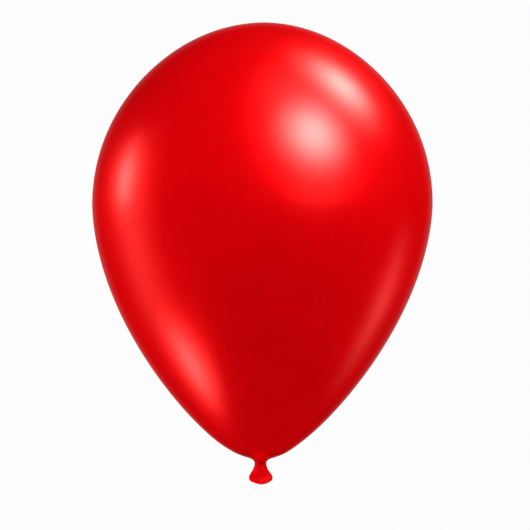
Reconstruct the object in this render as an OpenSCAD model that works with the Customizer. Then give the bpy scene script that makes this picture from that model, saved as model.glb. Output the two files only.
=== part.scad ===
// Round latex balloon, inflated and tied in its own neck.
// The origin is on the axis at the waist, the narrowest place of the neck, where a ribbon is tied.
// +Z points up through the envelope, and the flattened tail is broad along X.

/* [Envelope] */
// Largest diameter of the inflated envelope
envelope_d = 280.6; // [230:0.1:300]
// Height of the widest section above the waist
equator_z = 213.4; // [200:0.1:230]
// Height of the lowest point of the envelope's outline, where it would close on the axis
belly_base_z = 2.7; // [2.2:0.1:3]
// How much the belly narrows into a pear towards the neck
belly_taper = 0.62; // [0.5:0.01:0.7]
// How late that narrowing sets in
belly_power = 1.57; // [1.4:0.01:1.8]
// Height of the dome above the widest section
dome_h = 149.4; // [130:0.1:160]
// How much the dome's shoulder narrows
dome_taper = 0.10; // [0:0.01:0.2]
// How late that narrowing sets in
dome_power = 2.4; // [1.5:0.1:3]
// Wall of the envelope at its widest
skin_t = 0.4; // [0.4:0.05:0.8]
// Wall at the crown and at the neck, where the latex stretches least
end_t = 0.8; // [0.6:0.05:1.2]

/* [Neck] */
// Radius of the opening that the neck is gathered into
opening_r = 5.3; // [5.2:0.05:6]
// Height of the point that the neck bends about
bend_z = 1.2; // [1:0.1:1.4]
// Radius of the domed throat
throat_r = 5.3; // [5:0.05:5.3]
// Wall of the domed throat
throat_t = 0.9; // [0.6:0.1:1.5]
// Angle above the level at which the throat's dome ends
throat_rise = 27; // [25:1:35]
// Radius of the neck at the waist
neck_r = 4.85; // [4.5:0.05:4.9]
// Height of the shoulder under the neck's dome
shoulder_z = 0.9; // [0.7:0.1:1]
// Height of the neck's bottom face
neck_bottom_z = -1.3; // [-1.4:0.1:-1.1]
// Rounding of the shoulder
shoulder_round = 0.5; // [0.3:0.1:0.6]

/* [Knot] */
// Radius of the strand's head, just under the neck
core_head_r = 4.6; // [4.2:0.1:4.8]
// Radius of the strand's foot, just above the tail
core_foot_r = 2.4; // [2:0.1:3]
// Centre radius of the loop round the strand
loop_r = 3.7; // [3.6:0.05:3.9]
// Half thickness of the loop
loop_half_t = 2.0; // [1.8:0.05:2.1]
// Height of the loop's centre
loop_z = -3.9; // [-4:0.1:-3.8]

/* [Tail] */
// Height of the line that the tail folds about
fold_z = -7.4; // [-7.6:0.1:-7.3]
// Half depth of the tail at that line
fold_half_y = 1.1; // [0.9:0.05:1.1]
// Half width of the tail at that line
fold_half_x = 7.7; // [6.5:0.1:8.2]
// Half width of the mouth, to the middle of the rolled rim
mouth_half_x = 9.2; // [8:0.05:10]
// Half depth of the mouth, to the middle of the rolled rim
mouth_half_y = 4.2; // [3.8:0.1:5]
// Height of the rolled rim at its two sides
rim_side_z = -12.4; // [-13:0.1:-12]
// How far the rim hangs lower in the middle of the mouth
rim_drop = 4.0; // [3:0.1:5]
// Half thickness of the rolled rim
bead_r = 1.05; // [0.8:0.05:1.2]
// Wall of the tail
tail_t = 0.6; // [0.4:0.05:0.7]

/* [Hidden] */

latex = "crimson";
latex_dark = "firebrick";
latex_light = "red";

$fn = 96;
belly_steps = 60;       // steps of the outline from the equator down to the opening
dome_steps = 44;        // steps of the outline from the equator up to the crown
arc_steps = 10;         // steps of each arc of the two domes
corner_steps = 6;       // steps of a rounded edge
gap = 0.1;              // room between the strand and the loop
head_gap = 0.2;         // room between the neck and the strand's head, which turn on each other
dome_gap = 0.3;         // room between the neck's dome and the throat's, which turn in each other
around = 48;            // points in each ring of the tail
cap_rows = 4;           // rings over the tail's rounded top
skirt_rows = 9;         // rings down each side of the tail's wall
bead_sides = 10;        // sides of the rolled rim's section
cap_limit = 84;         // angle of the highest ring of the tail's top, just short of a ridge

envelope_r = envelope_d / 2;
belly_h = equator_z - belly_base_z;
neck_dome_r = throat_r - throat_t - dome_gap;
core_top_z = neck_bottom_z - head_gap;
core_bottom_z = loop_z - loop_half_t - gap;

// ---- Envelope ----

// Radius of an egg-shaped outline at angle t, from 0 at the equator to 90 at its end
function outline_r(r, t, taper, power) = r * cos(t) * sqrt(1 - taper * pow(sin(t), power));

// One point of the belly, drawn in from the outer surface by side_in and end_in
function belly_point(t, side_in, end_in) =
    [outline_r(envelope_r - side_in, t, belly_taper, belly_power),
     equator_z - (belly_h - end_in) * sin(t)];

// One point of the dome, drawn in the same way
function dome_point(t, side_in, end_in) =
    [outline_r(envelope_r - side_in, t, dome_taper, dome_power),
     equator_z + (dome_h - end_in) * sin(t)];

// Angle at which the belly's radius has shrunk to r, by halving the range
function belly_angle(r, low = 45, high = 90, tries = 24) =
    tries == 0 ? low :
    let (middle = (low + high) / 2)
    belly_point(middle, 0, 0)[0] > r ? belly_angle(r, middle, high, tries - 1)
                                     : belly_angle(r, low, middle, tries - 1);

opening_angle = belly_angle(opening_r);

// The outline from the opening up to the crown
function outline(side_in, end_in) = concat(
    [for (i = [belly_steps : -1 : 1]) belly_point(opening_angle * i / belly_steps, side_in, end_in)],
    [for (i = [0 : dome_steps - 1]) dome_point(90 * i / dome_steps, side_in, end_in)],
    [[0, equator_z + dome_h - end_in]]);

function reversed(list) = [for (i = [len(list) - 1 : -1 : 0]) list[i]];

module envelope() {
    color(latex)
    rotate_extrude()
    polygon(concat(outline(0, 0), reversed(outline(skin_t, end_t))));
}

// ---- Neck ----

function arc(radius, from, to, steps) =
    [for (i = [0 : steps]) let (a = from + (to - from) * i / steps) radius * [cos(a), sin(a)]];

// Domed throat, which turns in the envelope's opening like a ball in its seat
module neck_throat() {
    color(latex_dark)
    translate([0, 0, bend_z])
    rotate_extrude()
    polygon(concat(arc(throat_r, throat_rise, 90, arc_steps),
                   arc(throat_r - throat_t, 90, throat_rise, arc_steps)));
}

// Gathered neck: the waist, a rounded shoulder, and a dome that turns inside the throat's
module neck_waist() {
    shoulder = arc(shoulder_round, 0, 90, corner_steps);
    foot = asin((shoulder_z - bend_z) / neck_dome_r);
    color(latex)
    rotate_extrude()
    polygon(concat([[0, neck_bottom_z], [neck_r, neck_bottom_z]],
                   [for (p = shoulder) p + [neck_r - shoulder_round, shoulder_z - shoulder_round]],
                   [for (p = arc(neck_dome_r, foot, 90, arc_steps)) p + [0, bend_z]]));
}

// ---- Knot ----

// Strand of the neck that runs through the knot: a head, a thin middle and a foot
module knot_core() {
    color(latex_dark)
    rotate_extrude()
    difference() {
        polygon([[0, core_top_z], [core_head_r, core_top_z], [core_head_r, loop_z],
                 [core_foot_r, loop_z], [core_foot_r, core_bottom_z], [0, core_bottom_z]]);
        translate([loop_r, loop_z])
        circle(r = loop_half_t + gap);
    }
}

// Turn of the neck that is drawn tight round the strand
module knot_loop() {
    color(latex)
    translate([0, 0, loop_z])
    rotate_extrude()
    translate([loop_r, 0])
    circle(r = loop_half_t);
}

// ---- Tail ----

// Height of the rim at angle a round the mouth: it hangs lowest front and back
function rim_z(a) = rim_side_z - rim_drop * (1 - pow(abs(cos(a)), 3));

// A point of the tail's wall: s runs from 0 at the fold line to 1 at the rim
function skirt_point(a, s, inset) =
    let (half_x = fold_half_x + (mouth_half_x - fold_half_x) * sin(90 * s),
         half_y = fold_half_y + (mouth_half_y - fold_half_y) * pow(s, 0.9))
    [(half_x - inset) * cos(a), (half_y - inset) * sin(a), fold_z + (rim_z(a) - fold_z) * s];

// A point of the tail's rounded top, at angle up over the fold line
function cap_point(a, up, inset) =
    [(fold_half_x - inset - (1 - cos(up)) * fold_half_y) * cos(a),
     (fold_half_y - inset) * cos(up) * sin(a),
     fold_z + (fold_half_y - inset) * sin(up)];

function ring_of_cap(up, inset) =
    [for (k = [0 : around - 1]) cap_point(360 * k / around, up, inset)];
function ring_of_skirt(s, inset) =
    [for (k = [0 : around - 1]) skirt_point(360 * k / around, s, inset)];

// Closed solid through a list of rings that all have the same number of points
module skin_of_rings(rings) {
    n = len(rings[0]);
    last = (len(rings) - 1) * n;
    polyhedron(
        points = [for (ring = rings) each ring],
        faces = concat(
            [[for (k = [n - 1 : -1 : 0]) k]],
            [for (i = [0 : len(rings) - 2]) for (k = [0 : n - 1])
                let (a = i * n + k, b = i * n + (k + 1) % n) each [[a, b, a + n], [b, b + n, a + n]]],
            [[for (k = [0 : n - 1]) last + k]]));
}

// Flattened, flared end of the neck, open at the mouth
module tail_skirt() {
    color(latex)
    skin_of_rings(concat(
        [for (i = [0 : cap_rows - 1]) ring_of_cap(cap_limit * (1 - i / cap_rows), 0)],
        [for (i = [0 : skirt_rows]) ring_of_skirt(i / skirt_rows, 0)],
        [for (i = [skirt_rows : -1 : 0]) ring_of_skirt(i / skirt_rows, tail_t)]));
}

// A point of the rolled rim's section: b runs round the section
function bead_point(a, b) =
    let (middle = skirt_point(a, 1, tail_t / 2))
    middle + bead_r * [cos(b) * cos(a), cos(b) * sin(a), sin(b)];

// Bead of latex rolled up round the mouth, a closed ring
module rolled_rim() {
    points = [for (k = [0 : around - 1]) for (j = [0 : bead_sides - 1])
        bead_point(360 * k / around, 360 * j / bead_sides)];
    faces = [for (k = [0 : around - 1]) for (j = [0 : bead_sides - 1])
        let (next = (k + 1) % around,
             side = (j + 1) % bead_sides,
             a = k * bead_sides + j,
             b = k * bead_sides + side,
             c = next * bead_sides + j,
             d = next * bead_sides + side)
        each [[a, b, c], [b, d, c]]];
    color(latex_light)
    polyhedron(points = points, faces = faces);
}

envelope();
neck_throat();
neck_waist();
knot_core();
knot_loop();
tail_skirt();
rolled_rim();
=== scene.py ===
"""Looks of a tied latex balloon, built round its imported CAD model. Metres, +Z up, front towards -Y."""

import math
import random

import bpy
import numpy as np
from mathutils import Matrix, Vector


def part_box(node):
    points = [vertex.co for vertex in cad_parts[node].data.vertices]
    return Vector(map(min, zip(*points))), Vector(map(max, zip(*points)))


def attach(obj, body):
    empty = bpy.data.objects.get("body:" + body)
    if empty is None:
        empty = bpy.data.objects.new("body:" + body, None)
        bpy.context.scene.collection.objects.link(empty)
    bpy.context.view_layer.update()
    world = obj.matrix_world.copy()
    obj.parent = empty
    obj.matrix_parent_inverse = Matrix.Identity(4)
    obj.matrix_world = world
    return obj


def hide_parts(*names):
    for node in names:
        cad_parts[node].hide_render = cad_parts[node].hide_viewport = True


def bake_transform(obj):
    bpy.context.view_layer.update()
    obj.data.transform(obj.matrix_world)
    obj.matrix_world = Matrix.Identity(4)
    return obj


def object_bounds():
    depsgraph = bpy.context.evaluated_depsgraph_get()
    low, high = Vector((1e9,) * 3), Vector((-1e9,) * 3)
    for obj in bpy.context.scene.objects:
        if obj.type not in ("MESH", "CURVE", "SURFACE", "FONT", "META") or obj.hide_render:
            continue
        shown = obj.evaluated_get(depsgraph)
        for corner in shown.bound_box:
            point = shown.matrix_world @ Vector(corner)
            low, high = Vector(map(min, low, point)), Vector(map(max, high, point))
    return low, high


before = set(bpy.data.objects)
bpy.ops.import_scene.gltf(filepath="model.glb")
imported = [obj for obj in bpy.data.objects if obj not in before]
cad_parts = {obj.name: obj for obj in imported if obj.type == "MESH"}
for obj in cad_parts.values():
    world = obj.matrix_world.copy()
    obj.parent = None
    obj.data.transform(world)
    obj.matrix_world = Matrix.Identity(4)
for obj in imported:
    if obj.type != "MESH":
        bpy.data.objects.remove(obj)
cad_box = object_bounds()

MM = 0.001
random.seed(11)

# ---------------------------------------------------------------- sizes, read from the frame

loop_low, loop_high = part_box("knot_loop")

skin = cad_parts["envelope"].data.vertices
widest = max(skin, key=lambda v: math.hypot(v.co.x, v.co.y)).co
ENVELOPE_R = math.hypot(widest.x, widest.y)
EQUATOR_Z = widest.z
CROWN_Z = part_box("envelope")[1].z
WAIST_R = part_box("neck_waist")[1].x
LOOP_Z = (loop_low.z + loop_high.z) / 2
RIM_LOW_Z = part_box("rolled_rim")[0].z

# ---------------------------------------------------------------- the skin's outline

BELLY_BASE_Z = 2.7 * MM      # where the belly's egg curve would close on the axis
BELLY_TAPER, BELLY_POWER = 0.62, 1.57
DOME_TAPER, DOME_POWER = 0.10, 2.4
GATHER_R = 20 * MM           # the egg curve ends here, and the skin gathers into the neck
GATHER_PULL = 7.8 * MM       # length of the gather curve's handle along the belly
WAIST_PULL = 3.9 * MM        # length of its handle up the neck
WAIST_Z = 0.3 * MM
FLARE_Z = -11.75 * MM        # where the flare below the waist is widest
FLARE_R = 9.9 * MM
FLARE_TOP_PULL = 5.84 * MM   # length of the flare curve's handle down from the waist
FLARE_LOW_PULL = 3.28 * MM   # length of its handle up from the widest place
THROAT_SEAM_R = 6.6 * MM     # where the envelope's piece hands over to the throat's
NECK_SEAM_Z = 0.7 * MM       # where the throat's piece hands over to the neck's
NECK_END_Z = -2.2 * MM       # where the neck goes in under the knot's loop
TUCK_DROP = 0.5 * MM         # how far the neck's end goes down as it turns in under the loop
TUCK_IN = 1.6 * MM           # how far it goes in
TUCK_PULL = 0.3 * MM         # length of the turn's handles
DOME_ROWS, BELLY_ROWS, GATHER_ROWS, NECK_ROWS, TUCK_ROWS = 100, 150, 70, 16, 8
FLARE_ROWS = 80


def egg_r(t, taper, power):
    """Radius of the outline at angle t, from 0 at the equator to a quarter turn at its end."""
    return ENVELOPE_R * math.cos(t) * math.sqrt(1 - taper * math.sin(t) ** power)


def dome_outline(rows):
    """From the crown down to the equator."""
    angles = [math.pi / 2 * (1 - i / rows) for i in range(rows)]
    return [(egg_r(t, DOME_TAPER, DOME_POWER), EQUATOR_Z + (CROWN_Z - EQUATOR_Z) * math.sin(t))
            for t in angles]


def belly_point(t):
    return (egg_r(t, BELLY_TAPER, BELLY_POWER), EQUATOR_Z - (EQUATOR_Z - BELLY_BASE_Z) * math.sin(t))


def gather_angle():
    """Angle at which the belly has narrowed to the gather, by halving the range."""
    low, high = math.pi / 4, math.pi / 2
    for _ in range(40):
        middle = (low + high) / 2
        if belly_point(middle)[0] > GATHER_R:
            low = middle
        else:
            high = middle
    return low


def bezier(p0, p1, p2, p3, steps):
    """Points of a cubic curve, from just after p0 to p3."""
    p0, p1, p2, p3 = (np.array(p, float) for p in (p0, p1, p2, p3))
    points = []
    for i in range(1, steps + 1):
        t = i / steps
        points.append(tuple((1 - t) ** 3 * p0 + 3 * (1 - t) ** 2 * t * p1
                            + 3 * (1 - t) * t * t * p2 + t ** 3 * p3))
    return points


FLARE = np.array([(WAIST_R, 0)] + bezier((WAIST_R, 0), (WAIST_R, -FLARE_TOP_PULL),
                                         (FLARE_R, FLARE_Z + FLARE_LOW_PULL), (FLARE_R, FLARE_Z),
                                         FLARE_ROWS))


def flare_r(z):
    """Radius at height z of the flare that the neck, the knot and the tail's sides follow."""
    return float(np.interp(-z, -FLARE[:, 1], FLARE[:, 0]))


def skin_outline():
    """(radius, height) from the crown, over the equator and the gather, down into the knot."""
    end = gather_angle()
    belly = [belly_point(end * i / BELLY_ROWS) for i in range(BELLY_ROWS + 1)]
    corner = np.array(belly[-1])
    small_step = 0.001
    along = corner - np.array(belly_point(end - small_step))
    along /= np.linalg.norm(along)
    waist = (WAIST_R, WAIST_Z)
    gather = bezier(corner, corner + along * GATHER_PULL, (WAIST_R, WAIST_Z + WAIST_PULL), waist,
                    GATHER_ROWS)
    neck = [(flare_r(z), z) for z in np.linspace(0, NECK_END_Z, NECK_ROWS)]
    end_r, tuck_z = neck[-1][0], NECK_END_Z - TUCK_DROP
    tuck = bezier(neck[-1], (end_r, NECK_END_Z - TUCK_PULL), (end_r - TUCK_PULL, tuck_z),
                  (end_r - TUCK_IN, tuck_z), TUCK_ROWS)
    return dome_outline(DOME_ROWS) + belly + gather + neck + tuck


def with_normals(outline):
    """Adds the outward normal (nr, nz) to each (r, z) of an outline that runs downwards."""
    points = np.array(outline)
    step = np.gradient(points, axis=0)
    step /= np.linalg.norm(step, axis=1)[:, None]
    normals = np.stack([-step[:, 1], step[:, 0]], axis=1)
    return [(r, z, nr, nz) for (r, z), (nr, nz) in zip(points, normals)]


# ---------------------------------------------------------------- pleats and small irregularity

PLEATS = 23
PLEAT_WARP = [(k, random.uniform(0.03, 0.09), random.uniform(0, 2 * math.pi)) for k in (2, 3, 5)]
PLEAT_DEPTHS = [random.uniform(0.6, 1.25) for _ in range(PLEATS)]
PLEAT_HEIGHT = 0.13 * MM
PLEATS_FULL_R, PLEATS_FADE = 5.5 * MM, 15 * MM  # full inside this radius, gone this much further out
# Slow swells of the envelope: waves round it, height, phase, and how fast the phase turns with height
SWELLS = [(2, 0.10 * MM, 0.6, 18.0), (3, 0.08 * MM, 2.1, 26.0), (4, 0.05 * MM, 4.0, 34.0)]
SWELLS_START_R, SWELLS_FADE = 15 * MM, 60 * MM  # none inside this radius, full this much further out
CROWN_BUMP = 0.2 * MM        # how far the thick spot at the crown stands up
CROWN_SPOT_R = 16 * MM
LEAN = 0.0061                # sideways over height
LEAN_PIVOT_Z = 190 * MM
LEAN_START_Z, LEAN_FADE = 4 * MM, 14 * MM  # none below this height, full this much further up


def smoothstep(x):
    x = min(1.0, max(0.0, x))
    return x * x * (3 - 2 * x)


def pleat(angle, count=PLEATS):
    """Height, from about -0.9 to 0.4, of gathered pleats: round ridges with narrow valleys between."""
    warped = angle + sum(a * math.sin(k * angle + phase) for k, a, phase in PLEAT_WARP)
    turn = (warped / (2 * math.pi) * count) % count
    depth = PLEAT_DEPTHS[int(turn) % PLEATS]
    return (math.sqrt(abs(math.sin(math.pi * turn))) - 0.7) * depth


def skin_relief(angle, r, z):
    """How far the skin stands off its outline: slow swells on the envelope, pleats towards the neck."""
    swell = sum(a * math.sin(k * angle + phase + z * pitch) for k, a, phase, pitch in SWELLS)
    swell *= smoothstep((r - SWELLS_START_R) / SWELLS_FADE)
    if z > EQUATOR_Z:
        return swell + CROWN_BUMP * (1 - smoothstep(r / CROWN_SPOT_R))
    gathered = 1 - smoothstep((r - PLEATS_FULL_R) / PLEATS_FADE)
    return swell + PLEAT_HEIGHT * gathered * pleat(angle)


# ---------------------------------------------------------------- mesh making


def mesh_object(name, points, faces):
    mesh = bpy.data.meshes.new(name)
    mesh.from_pydata([tuple(p) for p in points], [], faces)
    mesh.validate()
    mesh.polygons.foreach_set("use_smooth", [True] * len(mesh.polygons))
    mesh.update()
    made = bpy.data.objects.new(name, mesh)
    bpy.context.scene.collection.objects.link(made)
    return made


def rings_to_faces(rings, columns, first=0):
    """Quads between neighbouring rings of the same length, facing outwards when rings run down."""
    faces = []
    for i in range(rings - 1):
        for k in range(columns):
            a = first + i * columns + k
            b = first + i * columns + (k + 1) % columns
            faces.append((a, a + columns, b + columns, b))
    return faces


def lean(z):
    """How far the envelope stands off the neck's axis at height z: the neck is tied a little off centre."""
    return LEAN * (z - LEAN_PIVOT_Z) * smoothstep((z - LEAN_START_Z) / LEAN_FADE)


def revolved(name, outline, columns, relief):
    """A skin turned round the axis from (r, z, nr, nz) points, with a fan where it meets the axis."""
    points, faces = [], []
    at_crown = outline[0][0] < 1e-6
    if at_crown:
        points.append((lean(outline[0][1]), 0, outline[0][1]))
        outline = outline[1:]
    first = len(points)
    for r, z, nr, nz in outline:
        for k in range(columns):
            angle = 2 * math.pi * k / columns
            d = relief(angle, r, z)
            across = r + nr * d
            points.append((across * math.cos(angle) + lean(z), across * math.sin(angle), z + nz * d))
    faces += rings_to_faces(len(outline), columns, first)
    if at_crown:
        faces += [(0, first + k, first + (k + 1) % columns) for k in range(columns)]
    return mesh_object(name, points, faces)


# ---------------------------------------------------------------- materials

# How pearly, rough and glossy the latex is where it is stretched, and where it is thick at the neck
METALLIC, ROUGHNESS, COAT = 0.80, 0.33, 0.40
DULL_METALLIC, DULL_ROUGHNESS, DULL_COAT = 0.50, 0.60, 0.10
COAT_ROUGHNESS, DULL_COAT_ROUGHNESS = 0.2, 0.35
DULL_TOP_Z = 9 * MM          # above this the latex is fully glossy
GATHER_SHADE_LOW_Z, GATHER_SHADE_HIGH_Z = 1 * MM, 13 * MM  # between these the gather's painted shade, which darkens its folds under the belly, fades into the pearl red
# Sizes of the patterns, as noise scales: the larger the finer
CLOUD_SCALE, GRAIN_SCALE, SKIN_SCALE = 22, 3200, 900
DIP_LINE_SCALE = (260, 260, 12)  # drawn out along the balloon
DIP_LINE_SHARE = 0.35        # how much of the pigment's pattern is dip lines and not clouds
CLOUD_RANGE = (0.36, 0.64)   # the pattern's values at which the pigment is thickest and thinnest
GRAIN_RANGE = (0.3, 0.7)
GRAIN_ROUGHNESS = 0.025      # how far the mica grain changes the roughness either way
SKIN_HEIGHT = 0.05 * MM
SKIN_STRENGTH, DULL_SKIN_STRENGTH = 0.02, 0.05


def new_material(name):
    material = bpy.data.materials.new(name)
    material.use_nodes = True
    return material, material.node_tree.nodes, material.node_tree.links


def noise(nodes, links, vector, scale, detail, roughness=0.5):
    node = nodes.new("ShaderNodeTexNoise")
    node.inputs["Scale"].default_value = scale
    node.inputs["Detail"].default_value = detail
    node.inputs["Roughness"].default_value = roughness
    links.new(vector, node.inputs["Vector"])
    return node.outputs["Fac"]


def ramp(nodes, links, value, stops):
    """Colour ramp through (position, colour) stops."""
    node = nodes.new("ShaderNodeValToRGB")
    elements = node.color_ramp.elements
    while len(elements) < len(stops):
        elements.new(0.5)
    for element, (position, colour) in zip(elements, stops):
        element.position = position
        element.color = (*colour, 1)
    links.new(value, node.inputs["Fac"])
    return node.outputs["Color"]


def mapped(nodes, links, value, low, high, to_low, to_high, curve="LINEAR"):
    node = nodes.new("ShaderNodeMapRange")
    node.interpolation_type = curve
    for socket, number in (("From Min", low), ("From Max", high), ("To Min", to_low), ("To Max", to_high)):
        node.inputs[socket].default_value = number
    links.new(value, node.inputs["Value"])
    return node.outputs["Result"]


def mixed(nodes, links, kind, factor, first, second):
    """Mix of two numbers or colours, each given as a socket or as a plain value."""
    node = nodes.new("ShaderNodeMix")
    node.data_type = kind
    sockets = {socket.identifier: socket for socket in node.inputs}
    suffix = {"FLOAT": "_Float", "RGBA": "_Color"}[kind]
    for socket, value in (("Factor_Float", factor), ("A" + suffix, first), ("B" + suffix, second)):
        if isinstance(value, bpy.types.NodeSocket):
            links.new(value, sockets[socket])
        else:
            sockets[socket].default_value = value
    return {socket.identifier: socket for socket in node.outputs}["Result" + suffix]


def stretch(nodes, links, place):
    """How far from 0 to 1 the latex is away from the neck, from the painted shade of the gather, and from
    the crown's thick spot.
    """
    height = nodes.new("ShaderNodeSeparateXYZ")
    links.new(place, height.inputs[0])
    z = height.outputs["Z"]
    from_neck = mapped(nodes, links, z, NECK_END_Z, DULL_TOP_Z, 0, 1, "SMOOTHSTEP")
    from_gather_shade = mapped(nodes, links, z, GATHER_SHADE_LOW_Z, GATHER_SHADE_HIGH_Z, 0, 1, "SMOOTHSTEP")
    above_neck = mapped(nodes, links, z, NECK_END_Z, GATHER_SHADE_LOW_Z, 0, 1, "SMOOTHSTEP")
    crown = nodes.new("ShaderNodeVectorMath")
    crown.operation = "DISTANCE"
    crown.inputs[1].default_value = (lean(CROWN_Z), 0, CROWN_Z)
    links.new(place, crown.inputs[0])
    from_crown = mapped(nodes, links, crown.outputs["Value"], 0, CROWN_SPOT_R, 0, 1, "SMOOTHSTEP")
    return from_neck, from_gather_shade, above_neck, from_crown


def latex(name, thin, thick, stretched_out):
    """Pearl red latex: cloudy pigment, fine mica grain, dip lines along Z and a faint skin texture.

    Stretched-out latex is glossy away from the neck, and darker and duller near it, with painted shade
    darkening the gather's folds. The rest is dull.
    """
    material, nodes, links = new_material(name)
    shader = nodes["Principled BSDF"]
    place = nodes.new("ShaderNodeTexCoord").outputs["Object"]

    clouds = noise(nodes, links, place, CLOUD_SCALE, 3)
    drawn_out = nodes.new("ShaderNodeMapping")
    drawn_out.inputs["Scale"].default_value = DIP_LINE_SCALE
    links.new(place, drawn_out.inputs["Vector"])
    dip_lines = noise(nodes, links, drawn_out.outputs["Vector"], 1, 2)
    grain = noise(nodes, links, place, GRAIN_SCALE, 1)

    cloudy = mixed(nodes, links, "FLOAT", DIP_LINE_SHARE, clouds, dip_lines)
    colour = ramp(nodes, links, cloudy, list(zip(CLOUD_RANGE, (thick, thin))))
    grainy = mapped(nodes, links, grain, *GRAIN_RANGE, -GRAIN_ROUGHNESS, GRAIN_ROUGHNESS)
    rough = nodes.new("ShaderNodeMath")
    rough.operation = "ADD"
    links.new(grainy, rough.inputs[1])
    if stretched_out:
        from_neck, from_gather_shade, above_neck, from_crown = stretch(nodes, links, place)
        # the gather's red is painted shade of its folds under the belly; the neck's and the crown's reds
        # are the thick latex's own colour
        thick_and_shaded_places = ((from_gather_shade, GATHER_SHADE_RED), (above_neck, NECK_RED), (from_crown, CROWN_RED))
        for away, red in thick_and_shaded_places:
            colour = mixed(nodes, links, "RGBA", away, (*red, 1), colour)
        links.new(mapped(nodes, links, from_neck, 0, 1, DULL_ROUGHNESS, ROUGHNESS), rough.inputs[0])
        links.new(mapped(nodes, links, from_neck, 0, 1, DULL_COAT, COAT), shader.inputs["Coat Weight"])
        links.new(mapped(nodes, links, from_neck, 0, 1, DULL_METALLIC, METALLIC), shader.inputs["Metallic"])
    else:
        rough.inputs[0].default_value = DULL_ROUGHNESS
        shader.inputs["Coat Weight"].default_value = DULL_COAT
        shader.inputs["Metallic"].default_value = DULL_METALLIC
    links.new(colour, shader.inputs["Base Color"])
    links.new(rough.outputs[0], shader.inputs["Roughness"])

    skin_texture = noise(nodes, links, place, SKIN_SCALE, 2)
    bump = nodes.new("ShaderNodeBump")
    bump.inputs["Strength"].default_value = SKIN_STRENGTH if stretched_out else DULL_SKIN_STRENGTH
    bump.inputs["Distance"].default_value = SKIN_HEIGHT
    links.new(skin_texture, bump.inputs["Height"])
    links.new(bump.outputs["Normal"], shader.inputs["Normal"])

    shader.inputs["Specular IOR Level"].default_value = 0
    shader.inputs["Coat Roughness"].default_value = COAT_ROUGHNESS if stretched_out else DULL_COAT_ROUGHNESS
    return material


# Reds. Where there are two, the second is for where the pigment is thickest.
PEARL, PEARL_DARK = (0.74, 0.0003, 0.0024), (0.69, 0.0002, 0.0020)
# painted shade: the gather's folds under the belly, darkened in the colour
GATHER_SHADE_RED = (0.34, 0.0002, 0.0012)
NECK_RED, NECK_DARK = (0.46, 0.0002, 0.0016), (0.43, 0.0002, 0.0014)
TAIL_RED, TAIL_DARK = (0.43, 0.0002, 0.0016), (0.40, 0.0002, 0.0014)
CROWN_RED = (0.50, 0.0002, 0.0012)
ENVELOPE_LATEX = latex("envelope_latex", PEARL, PEARL_DARK, True)
NECK_LATEX = latex("neck_latex", NECK_RED, NECK_DARK, False)
TAIL_LATEX = latex("tail_latex", TAIL_RED, TAIL_DARK, False)
RIM_LATEX = latex("rim_latex", TAIL_RED, TAIL_DARK, False)


def finished(piece, material, slot, *nodes):
    piece.data.materials.append(material)
    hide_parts(*nodes)
    return piece


# ---------------------------------------------------------------- envelope, throat and neck

COLUMNS = 276


def split(outline, is_end):
    """The outline up to and including the first point for which is_end holds, and the rest from there."""
    cut = next(i for i, point in enumerate(outline) if is_end(point))
    return outline[:cut + 1], outline[cut:]


def make_skin():
    outline = with_normals(skin_outline())
    upper, rest = split(outline, lambda p: p[1] < EQUATOR_Z / 2 and p[0] < THROAT_SEAM_R)
    throat, neck = split(rest, lambda p: p[1] < NECK_SEAM_Z)

    envelope = finished(revolved("envelope_skin", upper, COLUMNS, skin_relief),
                        ENVELOPE_LATEX, "envelope_latex", "envelope")
    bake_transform(envelope)

    gathered = finished(revolved("throat_skin", throat, COLUMNS, skin_relief),
                        ENVELOPE_LATEX, "neck_latex", "neck_throat")
    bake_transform(gathered)

    waist = finished(revolved("neck_skin", neck, COLUMNS, skin_relief),
                     ENVELOPE_LATEX, "neck_latex", "neck_waist")
    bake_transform(waist)


# ---------------------------------------------------------------- knot


LOOP_HALF_R, LOOP_HALF_Z = 1.3 * MM, 1.78 * MM
LOOP_SLANT = 0.35 * MM       # how much higher the turn lies on the right, and lower on the left
LOOP_RISE = 0.03 * MM        # how far its middle stands above the CAD loop's
LOOP_PROUD = 0.12 * MM       # how far it stands proud of the flare
LOOP_SQUARENESS = 0.72
LOOP_START, LOOP_SWEEP = math.radians(75), math.radians(400)
LOOP_UNDER = 0.9 * MM        # how far its start goes down and in, under its end
LOOP_UNDER_PART = 0.1        # part of its length over which it comes out from there
END_PART = 0.05              # part of its length over which each end thins out
END_SINK = 0.5 * MM          # how far each end sinks in
END_HALF_R, END_HALF_Z = 0.5, 0.55  # thickness of the ends, as a part of the full one
CREASE_HEIGHT = 0.035 * MM


def super_point(b, power):
    """Point at angle b of a rounded square: 1 is a circle, and less is squarer."""
    c, s = math.cos(b), math.sin(b)
    return math.copysign(abs(c) ** power, c), math.copysign(abs(s) ** power, s)


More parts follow.
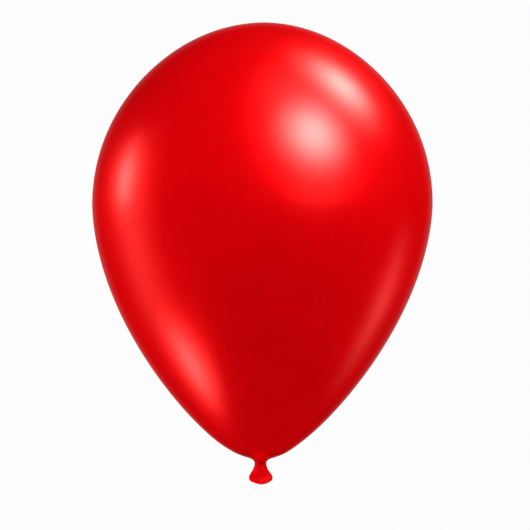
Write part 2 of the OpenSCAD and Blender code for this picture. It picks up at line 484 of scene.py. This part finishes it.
def make_loop():
    """One turn of the neck drawn tight. It crosses over its own start at the back, and ends there."""
    stations, sides = 190, 40
    points = []
    for i in range(stations):
        s = i / (stations - 1)
        angle = LOOP_START + LOOP_SWEEP * s
        ends = smoothstep(s / END_PART) * smoothstep((1 - s) / END_PART)
        clear = smoothstep(s / LOOP_UNDER_PART)
        middle_z = LOOP_Z + LOOP_RISE + LOOP_SLANT * math.cos(angle) * clear
        middle_z -= LOOP_UNDER * (1 - clear)
        under = LOOP_UNDER * (1 - clear) + END_SINK * (1 - ends)
        half_r = LOOP_HALF_R * (END_HALF_R + (1 - END_HALF_R) * ends)
        half_z = LOOP_HALF_Z * (END_HALF_Z + (1 - END_HALF_Z) * ends)
        for j in range(sides):
            u, v = super_point(2 * math.pi * j / sides, LOOP_SQUARENESS)
            z = middle_z + half_z * v
            creases = CREASE_HEIGHT * math.sin(11 * v + 3 * angle) * max(0, u) * (1 - v * v)
            r = flare_r(z) + LOOP_PROUD - LOOP_HALF_R - under + half_r * u + creases
            points.append((r * math.cos(angle), r * math.sin(angle), z))
    faces = []
    for i in range(stations - 1):
        for j in range(sides):
            a, b = i * sides + j, i * sides + (j + 1) % sides
            faces.append((a, a + sides, b + sides, b))
    last = (stations - 1) * sides
    faces.append(tuple(range(sides)))
    faces.append(tuple(last + j for j in reversed(range(sides))))
    loop = finished(mesh_object("knot_loop_turn", points, faces), NECK_LATEX, "neck_latex", "knot_loop")
    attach(loop, "knot")


STRAND_PLEATS = 0.10 * MM
# Radius and height of the strand in mm, from its top down
STRAND_OUTLINE = [(0, -2.1), (2.4, -2.2), (2.6, -2.9), (2.1, -3.9), (2.5, -4.8), (3.2, -5.5),
                  (2.6, -6.0), (0, -6.1)]


def make_strand():
    """The pleated strand inside the loop, which swells out above and below it."""
    columns = 96
    rows = with_normals([(r * MM, z * MM) for r, z in STRAND_OUTLINE])
    strand = revolved("knot_strand", rows[:-1], columns, lambda angle, r, z: STRAND_PLEATS * pleat(angle))
    finished(strand, NECK_LATEX, "neck_latex", "knot_core")
    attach(strand, "knot")


# ---------------------------------------------------------------- tail

TAIL_TOP_Z = -4.9 * MM
RIM_R = 1.0 * MM
TAIL_WALL = 0.35 * MM
RIM_SIDE_Z = -12.2 * MM
RIM_MIDDLE_Z = RIM_LOW_Z + RIM_R
TAIL_LEAN = 0.3 * MM         # how far the mouth stands off the neck's axis
TAIL_TURN = math.radians(9)  # the flat tail doesn't lie quite square
TAIL_TUCK = 0.9 * MM         # how far its top goes in under the loop
TAIL_CURL = 0.8 * MM         # how far its sides come in again at the mouth
TAIL_FOLDS, TAIL_FOLD_HEIGHT = 17, 0.16 * MM
# Half depth of the tail in mm, from the knot (0) to the mouth (1)
TAIL_Y = [(0, 5.4), (0.10, 5.2), (0.22, 4.2), (0.38, 3.3), (0.55, 3.1), (0.78, 3.5), (1, 4.0)]


def through(stops, s):
    """Smooth curve through (s, value) stops, by a Hermite curve with the stops' own slopes."""
    slopes = []
    for i in range(len(stops)):
        before, after = stops[max(i - 1, 0)], stops[min(i + 1, len(stops) - 1)]
        slopes.append((after[1] - before[1]) / (after[0] - before[0]))
    i = max(k for k in range(len(stops) - 1) if stops[k][0] <= s or k == 0)
    (s0, v0), (s1, v1) = stops[i], stops[i + 1]
    h = s1 - s0
    t = (s - s0) / h
    return ((2 * t ** 3 - 3 * t ** 2 + 1) * v0 + (t ** 3 - 2 * t ** 2 + t) * h * slopes[i]
            + (3 * t ** 2 - 2 * t ** 3) * v1 + (t ** 3 - t ** 2) * h * slopes[i + 1])


def rim_drop(angle):
    """How far down the rim hangs at an angle round the mouth: 0 at its sides, 1 front and back."""
    soft = 0.08
    oval = (math.sqrt(math.sin(angle) ** 2 + soft ** 2) - soft) / (math.sqrt(1 + soft ** 2) - soft)
    return oval * (0.933 + 0.067 * math.exp(-(math.cos(angle) / 0.35) ** 2))


def tail_point(angle, s, inset):
    """A point of the tail's wall: s runs from 0 under the loop to 1 at the mouth."""
    rim_z = RIM_SIDE_Z + (RIM_MIDDLE_Z - RIM_SIDE_Z) * rim_drop(angle)
    tucked = TAIL_TUCK * (1 - smoothstep(s / 0.10))
    curled = TAIL_CURL * smoothstep((s - 0.84) / 0.16)
    folds = TAIL_FOLD_HEIGHT * (1 - smoothstep(s / 0.7)) * pleat(angle, TAIL_FOLDS)
    x = flare_r(TAIL_TOP_Z + (RIM_SIDE_Z - TAIL_TOP_Z) * s) - tucked - curled + folds - inset
    y = through(TAIL_Y, s) * MM - tucked + folds - inset
    point = Vector((x * math.cos(angle), y * math.sin(angle), TAIL_TOP_Z + (rim_z - TAIL_TOP_Z) * s))
    return Matrix.Rotation(TAIL_TURN, 3, "Z") @ point + Vector((TAIL_LEAN * s, 0, 0))


def make_tail():
    columns, rows = 180, 44
    rings = [(i / rows, 0) for i in range(rows + 1)]
    inner_top_row = rows // 6
    rings += [(i / rows, TAIL_WALL) for i in range(rows, inner_top_row, -1)]
    points = [tail_point(2 * math.pi * k / columns, s, inset) for s, inset in rings for k in range(columns)]
    faces = rings_to_faces(len(rings), columns)
    faces.append(tuple(reversed(range(columns))))
    last = (len(rings) - 1) * columns
    faces.append(tuple(last + k for k in range(columns)))
    tail = finished(mesh_object("tail_skirt_skin", points, faces), TAIL_LATEX, "tail_latex", "tail_skirt")
    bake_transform(tail)


# How the bead's thickness varies: waves round it, part of the thickness, and phase
RIM_UNEVEN = [(3, 0.03, 0.4), (7, 0.02, 2.2), (16, 0.012, 5.0)]


def make_rim():
    """The bead at the mouth, rolled a little unevenly."""
    stations, sides = 200, 24
    points = []
    for i in range(stations):
        angle = 2 * math.pi * i / stations
        middle = Vector(tail_point(angle, 1, TAIL_WALL / 2))
        thick = RIM_R * (1 + sum(a * math.sin(k * angle + phase) for k, a, phase in RIM_UNEVEN))
        out = Vector((math.cos(angle), math.sin(angle), 0))
        for j in range(sides):
            b = 2 * math.pi * j / sides
            points.append(middle + thick * (math.cos(b) * out + math.sin(b) * Vector((0, 0, 1))))
    faces = []
    for i in range(stations):
        for j in range(sides):
            a, b = i * sides + j, i * sides + (j + 1) % sides
            after = (i + 1) % stations * sides
            faces.append((a, after + j, after + (j + 1) % sides, b))
    rim = finished(mesh_object("rolled_rim_bead", points, faces), RIM_LATEX, "rim_latex", "rolled_rim")
    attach(rim, "tail")


make_skin()
make_loop()
make_strand()
make_tail()
make_rim()

# ---------------------------------------------------------------- camera

CAMERA_DISTANCE = 3.0
PICTURE_WIDTH = 0.4367       # width of the scene that the picture takes in at the balloon
CAMERA_ROLL = math.radians(0.36)
AIM_RIGHT, AIM_DOWN = 2.7 * MM, 9.45 * MM  # where the picture's middle is, from the object's
AIM = Vector((AIM_RIGHT, 0, (cad_box[0].z + cad_box[1].z) / 2 - AIM_DOWN))


def make_camera():
    data = bpy.data.cameras.new("camera")
    data.sensor_width = 36
    data.lens = data.sensor_width * CAMERA_DISTANCE / PICTURE_WIDTH
    camera = bpy.data.objects.new("camera", data)
    bpy.context.scene.collection.objects.link(camera)
    camera.location = AIM + Vector((0, -CAMERA_DISTANCE, 0))
    camera.rotation_euler = (math.pi / 2, -CAMERA_ROLL, 0)
    bpy.context.scene.camera = camera


# ---------------------------------------------------------------- studio

STUDIO_CENTRE = Vector((0, 0, EQUATOR_Z))
SEEN_WHITE = 0.985           # the white that the camera sees behind the balloon
FLOOR_WHITE = 0.92           # the white of the floor
FLOOR_HALF, FLOOR_Z = 8.0, -1.5
AIR = 0.01                   # light from all round
MIRRORED_DIM = 0.003         # what the gloss mirrors away from the lights and the backdrop
BACKDROP = 0.17              # how bright the backdrop is in the gloss
BACKDROP_FULL, BACKDROP_END = math.radians(14), math.radians(30)  # it fades out between these angles


def direction(azimuth, elevation):
    """Unit vector from the balloon: azimuth 0 is towards the front (-Y), 90 to its right (+X)."""
    a, e = math.radians(azimuth), math.radians(elevation)
    return Vector((math.sin(a) * math.cos(e), -math.cos(a) * math.cos(e), math.sin(e)))


WARM_WHITE = (1.0, 1.0, 0.87)  # the colour of the softboxes
SOFT_EDGE = 4.0              # a softbox fades as a Gaussian, down to e to minus this at its edge


def fade_out(data):
    """Makes an area light fade from its middle to its edge, as a softbox does."""
    data.use_nodes = True
    nodes, links = data.node_tree.nodes, data.node_tree.links
    place = nodes.new("ShaderNodeNewGeometry").outputs["Parametric"]
    centred = nodes.new("ShaderNodeVectorMath")
    centred.operation = "SUBTRACT"
    centred.inputs[1].default_value = (0.5, 0.5, 0)
    links.new(place, centred.inputs[0])
    flat = nodes.new("ShaderNodeVectorMath")
    flat.operation = "MULTIPLY"
    flat.inputs[1].default_value = (2, 2, 0)
    links.new(centred.outputs[0], flat.inputs[0])
    squared = nodes.new("ShaderNodeVectorMath")
    squared.operation = "DOT_PRODUCT"
    links.new(flat.outputs[0], squared.inputs[0])
    links.new(flat.outputs[0], squared.inputs[1])
    exponent = nodes.new("ShaderNodeMath")
    exponent.operation = "MULTIPLY"
    exponent.inputs[1].default_value = -SOFT_EDGE
    links.new(squared.outputs["Value"], exponent.inputs[0])
    fade = nodes.new("ShaderNodeMath")
    fade.operation = "EXPONENT"
    links.new(exponent.outputs[0], fade.inputs[0])
    links.new(fade.outputs[0], nodes["Emission"].inputs["Strength"])


def area_light(name, azimuth, elevation, width, height, watts, tilt, distance):
    """A round or oval light that faces the balloon and isn't seen by the camera."""
    data = bpy.data.lights.new(name, "AREA")
    data.shape = "ELLIPSE"
    data.size, data.size_y, data.energy = width, height, watts
    light = bpy.data.objects.new(name, data)
    bpy.context.scene.collection.objects.link(light)
    towards = direction(azimuth, elevation)
    light.location = STUDIO_CENTRE + towards * distance
    turned = towards.to_track_quat("Z", "Y").to_matrix() @ Matrix.Rotation(math.radians(tilt), 3, "Z")
    light.rotation_euler = turned.to_euler()
    light.visible_camera = False
    return light


def softbox(name, azimuth, elevation, spread_x, spread_y, radiance, tilt=0, distance=1.3):
    """A light that is seen in the gloss. A spread is where it has faded by e, over its distance."""
    width, height = (2 * math.sqrt(SOFT_EDGE) * spread * distance for spread in (spread_x, spread_y))
    # an area light's power is its radiance times pi times its area
    watts = radiance * math.pi * math.pi / 4 * width * height
    data = area_light(name, azimuth, elevation, width, height, watts, tilt, distance).data
    data.color = WARM_WHITE
    fade_out(data)


def fill_light(name, azimuth, elevation, level, distance=2.4, size=1.6):
    """A broad light that isn't seen in the gloss. It lights a white surface to the given level."""
    watts = level * (math.pi * distance) ** 2
    light = area_light(name, azimuth, elevation, size, size, watts, 0, distance)
    light.visible_glossy = False
    light.data.cycles.use_multiple_importance_sampling = False


def make_world():
    """White studio air, seen by the camera. The gloss mirrors only the backdrop, behind the balloon."""
    world = bpy.data.worlds.new("studio")
    bpy.context.scene.world = world
    world.cycles.sampling_method = "NONE"
    world.use_nodes = True
    nodes, links = world.node_tree.nodes, world.node_tree.links
    nodes.clear()
    output = nodes.new("ShaderNodeOutputWorld")
    path = nodes.new("ShaderNodeLightPath")
    air, mirrored, seen = (nodes.new("ShaderNodeBackground") for _ in range(3))
    for background, strength in ((air, AIR), (mirrored, 0), (seen, SEEN_WHITE)):
        background.inputs["Color"].default_value = (1, 1, 1, 1)
        background.inputs["Strength"].default_value = strength
    ray = nodes.new("ShaderNodeSeparateXYZ")
    links.new(nodes.new("ShaderNodeTexCoord").outputs["Generated"], ray.inputs[0])
    backdrop = mapped(nodes, links, ray.outputs["Y"], math.cos(BACKDROP_END), math.cos(BACKDROP_FULL),
                      MIRRORED_DIM, BACKDROP, "SMOOTHSTEP")
    links.new(backdrop, mirrored.inputs["Strength"])
    by_gloss, by_camera = nodes.new("ShaderNodeMixShader"), nodes.new("ShaderNodeMixShader")
    links.new(path.outputs["Is Glossy Ray"], by_gloss.inputs["Fac"])
    links.new(air.outputs[0], by_gloss.inputs[1])
    links.new(mirrored.outputs[0], by_gloss.inputs[2])
    links.new(path.outputs["Is Camera Ray"], by_camera.inputs["Fac"])
    links.new(by_gloss.outputs[0], by_camera.inputs[1])
    links.new(seen.outputs[0], by_camera.inputs[2])
    links.new(by_camera.outputs[0], output.inputs["Surface"])


def make_floor():
    """A wide plain floor of white light, far below the balloon. Only the camera sees it, from above."""
    corners = ((-1, -1), (1, -1), (1, 1), (-1, 1))
    points = [(FLOOR_HALF * x, FLOOR_HALF * y, FLOOR_Z) for x, y in corners]
    floor = mesh_object("floor", points, [(0, 1, 2, 3)])
    material, nodes, links = new_material("floor_light")
    nodes.clear()
    white = nodes.new("ShaderNodeEmission")
    white.inputs["Strength"].default_value = FLOOR_WHITE
    underside = nodes.new("ShaderNodeNewGeometry").outputs["Backfacing"]
    one_sided = nodes.new("ShaderNodeMixShader")
    links.new(underside, one_sided.inputs["Fac"])
    links.new(white.outputs[0], one_sided.inputs[1])
    links.new(nodes.new("ShaderNodeBsdfTransparent").outputs[0], one_sided.inputs[2])
    links.new(one_sided.outputs[0], nodes.new("ShaderNodeOutputMaterial").inputs["Surface"])
    floor.data.materials.append(material)
    floor.visible_diffuse = False
    floor.visible_glossy = False
    floor.visible_shadow = False


make_camera()
make_world()
make_floor()
# seen in the gloss: azimuth, elevation, spread across, spread up and radiance
softbox("key", 40, 41, 0.38, 0.66, 2.7, tilt=-8)
softbox("key_core", 40, 40, 0.25, 0.25, 34)
softbox("upper_right", 100, 54, 0.26, 0.20, 12, tilt=55)
softbox("upper_right_core", 105, 53, 0.15, 0.17, 12)
softbox("left", -102, 10, 0.14, 0.18, 6.5)
softbox("left_band", -95, -12, 0.24, 0.6, 0.85, tilt=-7)
softbox("lower_left", -94, -51, 0.17, 0.12, 6.6, tilt=-55)
softbox("lower_right", 113, -27, 0.12, 0.22, 1.0, tilt=20)
# not seen in the gloss: azimuth, elevation and level
fill_light("fill_front", 0, 0, 0.9)
fill_light("fill_right", 45, 5, 0.4)
fill_light("fill_left", -60, 0, 0.5)
fill_light("fill_high_left", -50, 35, 2.1)
fill_light("fill_low_left", -85, -40, 2.9, distance=2)
fill_light("fill_low_right", 90, -35, 2.9, distance=2)
fill_light("fill_low", 0, -45, 0.2, distance=1.6)
fill_light("fill_below", 0, -90, 0.1, distance=1.2)
fill_light("fill_back", 180, 20, 1.5)
bpy.context.scene.view_settings.view_transform = "Standard"
